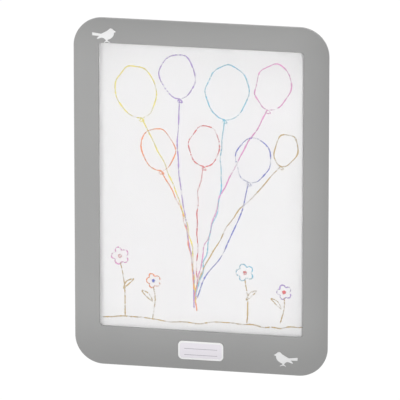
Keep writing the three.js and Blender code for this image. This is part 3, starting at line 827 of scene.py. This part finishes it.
# Two white vinyl birds, cut flat. The outline is in shares of the length and height, tail first
birdForm = {
    "length": 0.024,
    "height": 0.0147,
    "back": 0.01745,
    "face": 0.01785,
    "spanSteps": 5,
    "edge": 0.00009,
    "edgeSteps": 2,
    "edgeAngle": 60,
    "shadeAngle": 40,
}
birdPlaces = {
    "bird_upper": {"tail": -0.1096, "feet": 0.1539, "facing": 1},
    "bird_lower": {"tail": 0.09875, "feet": -0.1700, "facing": -1},
}
birdOutline = {
    "tail over": [(0, 0.65), (0.02, 0.668), (0.2, 0.63), (0.38, 0.6)],
    "back and head": [(0.38, 0.6), (0.53, 0.735), (0.64, 0.84), (0.72, 0.96), (0.78, 1), (0.85, 0.965),
                      (0.92, 0.865), (1, 0.785)],
    "beak": [(1, 0.785), (0.975, 0.74), (0.918, 0.722)],
    "breast": [(0.918, 0.722), (0.912, 0.59), (0.874, 0.452), (0.78, 0.3), (0.65, 0.2)],
    "front toe": [(0.65, 0.2), (0.655, 0.125), (0.75, 0.03), (0.725, 0)],
    "sole": [(0.725, 0), (0.66, 0.048), (0.6, 0.06), (0.55, 0.03), (0.515, 0)],
    "back toe": [(0.515, 0), (0.497, 0.03), (0.555, 0.1), (0.57, 0.14), (0.555, 0.2)],
    "belly": [(0.555, 0.2), (0.5, 0.285), (0.44, 0.325), (0.37, 0.315), (0.29, 0.27), (0.215, 0.238)],
    "wing tip": [(0.215, 0.238), (0.197, 0.262), (0.24, 0.36), (0.3, 0.45)],
    "tail under": [(0.3, 0.45), (0.17, 0.452), (0.02, 0.466), (0, 0.485)],
}
birdLook = {
    "darker": tone(234, 234, 235),
    "lighter": tone(240, 240, 240),
    "scuffTone": tone(226, 226, 226),
    "scuffShare": 0.05,
    "grainScale": 1800,
    "patchScale": 60,
    "scuffScale": 400,
    "smooth": 0.42,
    "rough": 0.5,
    "bump": 0.08,
    "bumpDepth": 0.00005,
    "index": 1.5,
}


def birdCorners(place, form):
    spots = []
    for line in birdOutline.values():
        count = form["spanSteps"] * (len(line) - 1)
        spots += [between(line, number / count) for number in range(count)]
    spots.append(Vector(birdOutline["tail under"][-1]))
    return [(place["tail"] + place["facing"] * form["length"] * spot.x, -form["back"],
             place["feet"] + form["height"] * spot.y) for spot in spots]


def makeBird(name, place, form, material):
    corners = birdCorners(place, form)
    mesh = bpy.data.meshes.new(name + "_fine")
    mesh.from_pydata(corners, [], [list(range(len(corners)))])
    piece = addPiece(name + "_fine", mesh)
    editAll(piece)
    bpy.ops.mesh.extrude_region_move(TRANSFORM_OT_translate={"value": (0, form["back"] - form["face"], 0)})
    bpy.ops.mesh.select_all(action="SELECT")
    bpy.ops.mesh.normals_make_consistent()
    leaveEdit()
    softenEdges(piece, form["edge"], form["edgeSteps"], form["edgeAngle"])
    shadeByArea(piece, form["shadeAngle"])
    hand(piece, name + "_fine", "door", material, [name])


birdVinyl = plasticMaterial("bird_white_vinyl", birdLook)
for name, place in birdPlaces.items():
    makeBird(name, place, birdForm, birdVinyl)
print("birds done")

# Drawing sheet, slightly wavy between its clips
sheetForm = {
    "width": 0.21,
    "height": 0.297,
    "middle": 0.00725,
    "face": 0.01353,
    "thickness": 0.0002,
    "columns": 71,
    "rows": 100,
}
waveForm = {
    "depth": 0.00012,
    "flatMargin": 0.03,
    "acrossRate": 41,
    "acrossStart": 0.6,
    "upRate": 23,
    "upStart": 1.1,
    "slantShare": 0.5,
    "slantAcross": 17,
    "slantUp": 31,
    "meanShare": 0.5,
    "swellParts": 3,
}
paperLook = {
    "darker": tone(230, 229, 229),
    "lighter": tone(237, 236, 237),
    "fibreScale": 1500,
    "cloudScale": 60,
    "smooth": 0.8,
    "rough": 0.92,
    "gloss": 0.3,
    "bump": 0.2,
    "bumpDepth": 0.00006,
}


def paperDip(x, z, wave=waveForm):
    edge = min(sheetForm["width"] / 2 - abs(x), sheetForm["height"] / 2 - abs(z - sheetForm["middle"]))
    hold = min(1, max(0, edge / wave["flatMargin"]))
    across = math.sin(x * wave["acrossRate"] + wave["acrossStart"])
    up = math.sin(z * wave["upRate"] + wave["upStart"])
    slant = math.sin(x * wave["slantAcross"] + z * wave["slantUp"])
    swell = across * up + wave["slantShare"] * slant
    return wave["depth"] * hold * (wave["meanShare"] + swell / wave["swellParts"])


def makeSheet(form, material):
    startClean()
    bpy.ops.mesh.primitive_grid_add(
        x_subdivisions=form["columns"], y_subdivisions=form["rows"], size=1,
        location=(0, -form["face"], form["middle"]), rotation=(math.pi / 2, 0, 0))
    sheet = bpy.context.object
    sheet.scale = (form["width"], form["height"], 1)
    bpy.ops.object.transform_apply()
    for vertex in sheet.data.vertices:
        vertex.co.y += paperDip(vertex.co.x, vertex.co.z)
    modify(sheet, "SOLIDIFY", thickness=form["thickness"], offset=-1)
    shadeByAngle(sheet)
    hand(sheet, "drawing_sheet_fine", "board", material, ["drawing_sheet"])


makeSheet(sheetForm, fibreMaterial("drawing_paper_white", paperLook))

# Spare sheets behind it, a loose stack
stackForm = {
    "sheets": 8,
    "back": 0.0115,
    "face": 0.0131,
    "fillShare": 0.82,
    "shift": 0.00012,
    "edge": 0.00003,
    "seed": 4,
}
spareLook = {**paperLook, "darker": tone(221, 219, 215), "lighter": tone(231, 229, 225)}


def makeStack(form):
    rng = random.Random(form["seed"])
    pitch = (form["face"] - form["back"]) / form["sheets"]
    size = (sheetForm["width"] - 2 * form["shift"], pitch * form["fillShare"],
            sheetForm["height"] - 2 * form["shift"])
    sheets = []
    for number in range(form["sheets"]):
        depth = form["back"] + pitch * (number + 0.5)
        shift = [rng.uniform(-form["shift"], form["shift"]) for _ in range(2)]
        sheets.append(addBlock("spare", size, (shift[0], -depth, sheetForm["middle"] + shift[1])))
    startClean()
    for sheet in sheets:
        sheet.select_set(True)
    bpy.context.view_layer.objects.active = sheets[0]
    bpy.ops.object.join()
    stack = bpy.context.object
    softenEdges(stack, form["edge"], 1)
    hand(stack, "spare_sheets_fine", "board",
         fibreMaterial("spare_paper_white", spareLook), ["spare_sheets"])


makeStack(stackForm)
print("sheets done")

# Crayon drawing of balloons and flowers, one piece for each crayon
crayonLook = {
    "halfWidth": 0.00082,
    "widthShares": (0.75, 1.2),
    "widthSeed": 12,
    "taperSteps": 3,
    "roundSteps": 2,
    "flatShare": 0.04,
    "shadeAngle": 60,
    "toothScale": 1000,
    "pressScale": 70,
    "thinShare": 0.85,
    "roughness": 0.55,
    "bump": 0.2,
    "bumpDepth": 0.00005,
}
crayons = {
    "yellow": tone(243, 226, 76),
    "violet": tone(164, 134, 206),
    "pink": tone(228, 142, 200),
    "sky": tone(112, 196, 222),
    "blue": tone(72, 92, 192),
    "orange": tone(242, 142, 78),
    "red": tone(220, 84, 88),
    "ochre": tone(194, 164, 100),
}

# How an unsteady hand drifts along a stroke
handForm = {
    "seed": 11,
    "step": 0.0012,
    "fewestSteps": 8,
    "shake": 0.0012,
    "calmShake": 0.0004,
    "fineShake": 0.0002,
    "shakeParts": 3,
    "waves": 6,
    "waveSizes": (0.5, 1),
    "waveRates": (6, 36),
    "waveStarts": (0, 6.3),
    "lengthRate": 9,
    "axisStart": 2,
    "fadeRate": 6,
}


def driftAt(share, length, axis, waves, form):
    drift = 0
    for size, rate, start in waves:
        turn = rate * share * length * form["lengthRate"] + start + axis * form["axisStart"]
        drift += size * math.sin(turn)
    return drift


def drawn(points, rng, shake, form=handForm):
    length = sum((Vector(b) - Vector(a)).length for a, b in zip(points, points[1:]))
    count = max(form["fewestSteps"], int(length / form["step"]))
    spans = (form["waveSizes"], form["waveRates"], form["waveStarts"])
    waves = [[rng.uniform(*span) for span in spans] for _ in range(form["waves"])]
    stroke = []
    for number in range(count + 1):
        share = number / count
        drift = [driftAt(share, length, axis, waves, form) for axis in (0, 1)]
        fade = min(1, form["fadeRate"] * share, form["fadeRate"] * (1 - share))
        stroke.append(between(points, share) + Vector(drift) * (shake / form["shakeParts"]) * fade)
    return stroke


# Balloons, with their strings drawn together at one point
balloonForm = {
    "spans": 14,
    "overlap": 0.08,
    "taperShare": 0.16,
    "tie": (-0.006, -0.098),
    "stringShares": (0.22, 0.45, 0.7, 0.9),
    "sway": 0.002,
    "tailRows": (-0.022, -0.006),
    "knot": ((-0.0026, -0.003), (0, 0), (0.0026, -0.0032), (-0.0024, -0.003)),
}
balloons = [
    {"crayon": "yellow", "middle": (-0.066, 0.104), "size": (0.021, 0.027), "lean": -0.2, "sag": 0.012},
    {"crayon": "violet", "middle": (-0.024, 0.122), "size": (0.018, 0.023), "lean": -0.08, "sag": -0.006},
    {"crayon": "sky", "middle": (0.026, 0.108), "size": (0.022, 0.028), "lean": 0.1, "sag": 0.007},
    {"crayon": "pink", "middle": (0.072, 0.116), "size": (0.018, 0.024), "lean": 0.22, "sag": -0.012},
    {"crayon": "orange", "middle": (-0.044, 0.046), "size": (0.017, 0.022), "lean": -0.14, "sag": 0.009},
    {"crayon": "red", "middle": (0.003, 0.052), "size": (0.016, 0.021), "lean": 0.04, "sag": -0.004},
    {"crayon": "blue", "middle": (0.052, 0.040), "size": (0.018, 0.023), "lean": 0.2, "sag": 0.01},
    {"crayon": "ochre", "middle": (0.085, 0.052), "size": (0.012, 0.017), "lean": 0.3, "sag": -0.012},
]


def balloonOutline(balloon, form):
    wide, high = balloon["size"]
    lean = balloon["lean"]
    outline = []
    for number in range(form["spans"] + 1):
        turn = -math.pi / 2 + 2 * math.pi * number / form["spans"] + form["overlap"]
        flare = 1 - form["taperShare"] * max(0, -math.sin(turn))
        x = wide * flare * math.cos(turn)
        z = high * math.sin(turn)
        offset = (x * math.cos(lean) + z * math.sin(lean), z * math.cos(lean) - x * math.sin(lean))
        outline.append(Vector(balloon["middle"]) + Vector(offset))
    return outline


def balloonString(foot, sag, rng, form):
    tie = Vector(form["tie"])
    string = [foot]
    for share in form["stringShares"]:
        bow = math.sin(math.pi * share) * sag
        string.append(foot.lerp(tie, share) + Vector((bow + rng.uniform(-form["sway"], form["sway"]), 0)))
    string.append(tie + Vector((rng.uniform(-form["sway"], form["sway"]), rng.uniform(*form["tailRows"]))))
    return string


def balloonStrokes(balloon, rng, form):
    lean = balloon["lean"]
    foot = Vector(balloon["middle"]) - Vector((math.sin(lean), math.cos(lean))) * balloon["size"][1]
    string = balloonString(foot, balloon["sag"], rng, form)
    knot = [foot + Vector(offset) for offset in form["knot"]]
    return [drawn(balloonOutline(balloon, form), rng, handForm["shake"]),
            drawn(string, rng, handForm["shake"]),
            drawn(knot, rng, handForm["fineShake"])]


# Flowers, each with five petals, a heart, a leaf and a stem
flowerForm = {
    "spans": 30,
    "petals": 5,
    "innerShare": 0.72,
    "petalShare": 0.34,
    "heartSteps": 20,
    "heartTurn": 1.35,
    "heartShare": 0.3,
    "leafShare": 0.45,
    "leaf": ((0.006, 0.005), (0.011, 0.011), (0.004, 0.008)),
    "stemShare": 0.7,
    "stemBow": 0.002,
}
flowers = [
    {"crayon": "pink", "heart": "red", "foot": (-0.078, -0.128), "head": (-0.083, -0.066), "petal": 0.0085},
    {"crayon": "orange", "heart": "blue", "foot": (-0.050, -0.130), "head": (-0.049, -0.090), "petal": 0.007},
    {"crayon": "sky", "heart": "red", "foot": (0.046, -0.129), "head": (0.044, -0.076), "petal": 0.0085},
    {"crayon": "violet", "heart": "red", "foot": (0.080, -0.127), "head": (0.084, -0.094), "petal": 0.0072},
]
groundLine = [(-0.1036, -0.131), (-0.07, -0.1285), (-0.02, -0.1318), (0.03, -0.129), (0.07, -0.1315),
              (0.1036, -0.129)]


def ray(turn):
    return Vector((math.cos(turn), math.sin(turn)))


def flowerPetals(head, petal, form):
    petals = []
    for number in range(form["spans"] + 1):
        turn = 2 * math.pi * number / form["spans"]
        bulge = abs(math.sin(form["petals"] / 2 * turn))
        petals.append(head + ray(turn) * (petal * (form["innerShare"] + form["petalShare"] * bulge)))
    return petals


def flowerHeart(head, petal, form):
    steps = form["heartSteps"]
    return [head + ray(number * form["heartTurn"]) * petal * form["heartShare"] * (number / steps)
            for number in range(steps)]


def flowerStrokes(flower, rng, form):
    foot = Vector(flower["foot"])
    head = Vector(flower["head"])
    petal = flower["petal"]
    side = rng.choice((-1, 1))
    root = foot.lerp(head, form["leafShare"])
    leaf = [root] + [root + Vector((side * x, z)) for x, z in form["leaf"]] + [root]
    half = foot.lerp(head, 0.5) + Vector((form["stemBow"], 0))
    stem = [head - Vector((0, petal * form["stemShare"])), half, foot]
    return [drawn(flowerPetals(head, petal, form), rng, handForm["calmShake"]),
            drawn(flowerHeart(head, petal, form), rng, handForm["fineShake"]),
            drawn(stem, rng, handForm["calmShake"]),
            drawn(leaf, rng, handForm["calmShake"])]


def drawingStrokes():
    rng = random.Random(handForm["seed"])
    strokes = {name: [] for name in crayons}
    for balloon in balloons:
        strokes[balloon["crayon"]] += balloonStrokes(balloon, rng, balloonForm)
    for flower in flowers:
        petals, heart, stem, leaf = flowerStrokes(flower, rng, flowerForm)
        strokes[flower["crayon"]].append(petals)
        strokes[flower["heart"]].append(heart)
        strokes["ochre"] += [stem, leaf]
    strokes["ochre"].append(drawn(groundLine, rng, handForm["shake"]))
    return strokes


def crayonMaterial(name, colour, look):
    material, tree, shader = startMaterial("crayon_" + name)
    crest = tree.nodes.new("ShaderNodeAttribute")
    crest.attribute_name = "crest"
    wax = placeGroup(tree, waxTooth, {**look, "crest": crest.outputs["Fac"]})
    cover = wax.outputs["cover"]
    pale = tuple(1 - (1 - value) * look["thinShare"] for value in colour[:3]) + (1,)
    fill(tree, shader, {"Base Color": addBlend(tree, cover, pale, colour), "Alpha": cover,
                        "Roughness": look["roughness"], "Normal": addBump(tree, wax.outputs["height"], look)})
    return material


def crayonCurve(name, strokes, look, rng):
    curve = bpy.data.curves.new("crayon_" + name, "CURVE")
    curve.dimensions = "3D"
    curve.bevel_depth = look["halfWidth"]
    curve.bevel_resolution = look["roundSteps"]
    curve.use_fill_caps = True
    for stroke in strokes:
        line = curve.splines.new("POLY")
        line.points.add(len(stroke) - 1)
        for number, (point, spot) in enumerate(zip(line.points, stroke)):
            taper = min(1, (number + 1) / look["taperSteps"], (len(stroke) - number) / look["taperSteps"])
            point.co = (spot.x, -sheetForm["face"], spot.y, 1)
            point.radius = taper * rng.uniform(*look["widthShares"])
    return curve


# Round lines pressed flat on the wavy paper, which keep in "crest" how far out of its plane they stood
def makeCrayon(name, strokes, look, rng):
    makeActive(addPiece("crayon_" + name, crayonCurve(name, strokes, look, rng)))
    bpy.ops.object.convert(target="MESH")
    piece = bpy.context.object
    crest = piece.data.attributes.new("crest", "FLOAT", "POINT")
    for number, vertex in enumerate(piece.data.vertices):
        rise = vertex.co.y + sheetForm["face"]
        crest.data[number].value = abs(rise) / look["halfWidth"]
        vertex.co.y = look["flatShare"] * rise - sheetForm["face"] + paperDip(vertex.co.x, vertex.co.z)
    shadeByAngle(piece, look["shadeAngle"])
    hand(piece, "crayon_" + name, "board", crayonMaterial(name, crayons[name], look), [])


widthRng = random.Random(crayonLook["widthSeed"])
for name, strokes in drawingStrokes().items():
    makeCrayon(name, strokes, crayonLook, widthRng)
print("crayon drawing done")

# Board and its corner clips
boardLook = {
    "darker": tone(112, 82, 56),
    "lighter": tone(150, 116, 82),
    "fibreScale": 900,
    "cloudScale": 70,
    "smooth": 0.55,
    "rough": 0.75,
    "gloss": 0.4,
    "bump": 0.35,
    "bumpDepth": 0.00012,
    "edge": 0.0002,
}
clipLook = {
    "darker": tone(226, 227, 226),
    "lighter": tone(240, 240, 239),
    "scuffTone": tone(210, 210, 208),
    "scuffShare": 0.1,
    "grainScale": 2200,
    "patchScale": 60,
    "scuffScale": 380,
    "smooth": 0.38,
    "rough": 0.48,
    "bump": 0.15,
    "bumpDepth": 0.0001,
    "index": 1.5,
    "edge": 0.0002,
}
hardboard = fibreMaterial("pressed_hardboard", boardLook)
clipPlastic = plasticMaterial("clip_white_plastic", clipLook)
refine("art_board", "board", hardboard, boardLook["edge"])
for corner in ("right_upper", "left_upper", "left_lower", "right_lower"):
    refine("corner_clip_" + corner, "board", clipPlastic, clipLook["edge"])
print("board and clips done")

# Back tray
trayLook = {
    "darker": tone(98, 99, 102),
    "lighter": tone(116, 117, 120),
    "scuffTone": tone(150, 151, 153),
    "scuffShare": 0.08,
    "grainScale": 2000,
    "patchScale": 16,
    "scuffScale": 300,
    "smooth": 0.5,
    "rough": 0.64,
    "bump": 0.35,
    "bumpDepth": 0.00015,
    "index": 1.48,
    "edge": 0.00035,
}
refine("back_tray", "tray", plasticMaterial("tray_grey_plastic", trayLook), trayLook["edge"])
print("tray done")

# Small steel and rubber parts
steelLook = {
    "darker": tone(176, 178, 182),
    "lighter": tone(214, 216, 219),
    "across": (60, 60, 2600),
    "smooth": 0.24,
    "rough": 0.4,
    "bump": 0.12,
    "bumpDepth": 0.00003,
}
steelKinds = {
    "pin_steel": ("turned_pin_steel", {"across": (900, 900, 2600)}),
    "screw_steel": ("zinc_screw_steel", {"across": (700, 700, 700), "rough": 0.46}),
    "spring_steel": ("blued_spring_steel", {"across": (40, 2600, 2600), "darker": tone(120, 124, 134),
                                            "lighter": tone(168, 172, 182)}),
    "tab_steel": ("pressed_tab_steel", {"across": (80, 60, 2400)}),
    "plate_steel": ("rolled_plate_steel", {"across": (40, 60, 2600)}),
    "strike_steel": ("strike_plate_steel", {"across": (50, 60, 2200), "rough": 0.34}),
    "magnet_metal": ("nickel_magnet", {"smooth": 0.12, "rough": 0.22, "darker": tone(192, 188, 180),
                                       "lighter": tone(226, 222, 214)}),
}
rubberLook = {
    "darker": tone(34, 34, 35),
    "lighter": tone(52, 52, 53),
    "scuffTone": tone(92, 92, 92),
    "scuffShare": 0.2,
    "grainScale": 2400,
    "patchScale": 120,
    "scuffScale": 500,
    "smooth": 0.7,
    "rough": 0.86,
    "bump": 0.3,
    "bumpDepth": 0.0001,
    "index": 1.45,
}
finishes = {"bumper_rubber": plasticMaterial("bumper_black_rubber", rubberLook)}
for slotName, (name, changes) in steelKinds.items():
    finishes[slotName] = metalMaterial(name, {**steelLook, **changes})

# Each kind of small part, with the width and the steps of its soft edges
smallKinds = {
    "pin_steel": {"body": "tray", "edge": 0.00018, "steps": 2,
                  "nodes": ("hinge_pin_lower", "hinge_pin_upper")},
    "magnet_metal": {"body": "tray", "edge": 0.00035, "steps": 3, "nodes": ("magnet_upper", "magnet_lower")},
    "strike_steel": {"body": "door", "edge": 0.00018, "steps": 2, "nodes": ("strike_upper", "strike_lower")},
    "plate_steel": {"body": "tray", "edge": 0.00012, "steps": 2,
                    "nodes": ("keyhole_plate_left", "keyhole_plate_right")},
    "tab_steel": {"body": "door", "edge": 0.0001, "steps": 2,
                  "nodes": ["pane_tab_" + place for place in tabPlaces(tabForm)]},
    "bumper_rubber": {"body": "tray", "edge": 0.0002, "steps": 3, "nodes": ("bumper_upper", "bumper_lower")},
}
for slotName, kind in smallKinds.items():
    for node in kind["nodes"]:
        refine(node, kind["body"], finishes[slotName], kind["edge"], kind["steps"])

# Leaf springs, which in the real frame give as the board is pressed back; here they keep their resting shape
springForm = {
    "edge": 0.00008,
    "edgeSteps": 1,
    "floor": 0.002,
    "keep": 0.4,
}
quarters = ("left_upper", "left_lower", "right_upper", "right_lower")
for place in quarters:
    spring = refine("leaf_spring_" + place, "tray", finishes["spring_steel"],
                    springForm["edge"], springForm["edgeSteps"])
    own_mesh(spring)
print("springs and small parts done")

# Screws, one of each kind modelled upright at the origin and copied to its places.
# The head rests at the seat's depth, and it faces the front at 1 and the wall at -1
screwKinds = {
    "stop_screw_": {
        "headRadius": 0.0045, "headHeight": 0.0016, "shankRadius": 0.0015, "shankLength": 0.0066,
        "seat": 0.01185, "facing": 1, "body": "tray", "places": quarters},
    "pane_screw_": {
        "headRadius": 0.0023, "headHeight": 0.0014, "shankRadius": 0.0009, "shankLength": 0.0022,
        "seat": 0.01395, "facing": -1, "body": "door", "places": tabPlaces(tabForm)},
    "keyhole_screw_": {
        "headRadius": 0.0021, "headHeight": 0.0006, "shankRadius": 0.001, "shankLength": 0.0024,
        "seat": 0.0008, "facing": -1, "body": "tray",
        "places": ("left_outer", "left_inner", "right_outer", "right_inner")},
}
screwLook = {
    "domeShare": 0.55,
    "domeSteps": 5,
    "slotWidthShare": 0.2,
    "slotLengthShare": 1.05,
    "slotDepthShare": 0.55,
    "turnSeed": 7,
}


def screwMaster(kind, look):
    radius = kind["headRadius"]
    height = kind["headHeight"]
    screw = addRound("screw_master", radius, height, (0, 0, height / 2))
    roundEdges(screw, lambda edge: all(vertex.co.z > height / 2 for vertex in edge.verts),
               height * look["domeShare"], look["domeSteps"])
    pick(screw, "FACE", lambda face: face.normal.z < -meshCare["sameDirection"])
    bpy.ops.mesh.inset(thickness=radius - kind["shankRadius"], depth=0)
    bpy.ops.mesh.extrude_region_move(TRANSFORM_OT_translate={"value": (0, 0, -kind["shankLength"])})
    leaveEdit()
    wide = radius * look["slotWidthShare"]
    long = radius * look["slotLengthShare"]
    deep = 2 * height * look["slotDepthShare"]
    cross = addBlock("cross", (long, wide, deep), (0, 0, height))
    combine(cross, [addBlock("cross_bar", (wide, long, deep), (0, 0, height))], "UNION")
    combine(screw, [cross], "DIFFERENCE")
    shadeByAngle(screw)
    return screw


def copyScrew(master, kind, node, turn):
    low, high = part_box(node)
    middle = Vector(((low.x + high.x) / 2, -kind["seat"], (low.z + high.z) / 2))
    tilt = Matrix.Rotation(kind["facing"] * math.pi / 2, 4, "X")
    screw = addPiece(node + "_fine", master.data.copy())
    screw.data.transform(Matrix.Translation(middle) @ tilt @ Matrix.Rotation(turn, 4, "Z"))
    hand(screw, node + "_fine", kind["body"], finishes["screw_steel"], [node])


turnRng = random.Random(screwLook["turnSeed"])
for name, kind in screwKinds.items():
    master = screwMaster(kind, screwLook)
    for place in kind["places"]:
        copyScrew(master, kind, name + place, turnRng.uniform(0, math.pi / 2))
    bpy.data.objects.remove(master)
print("screws done")

startClean()
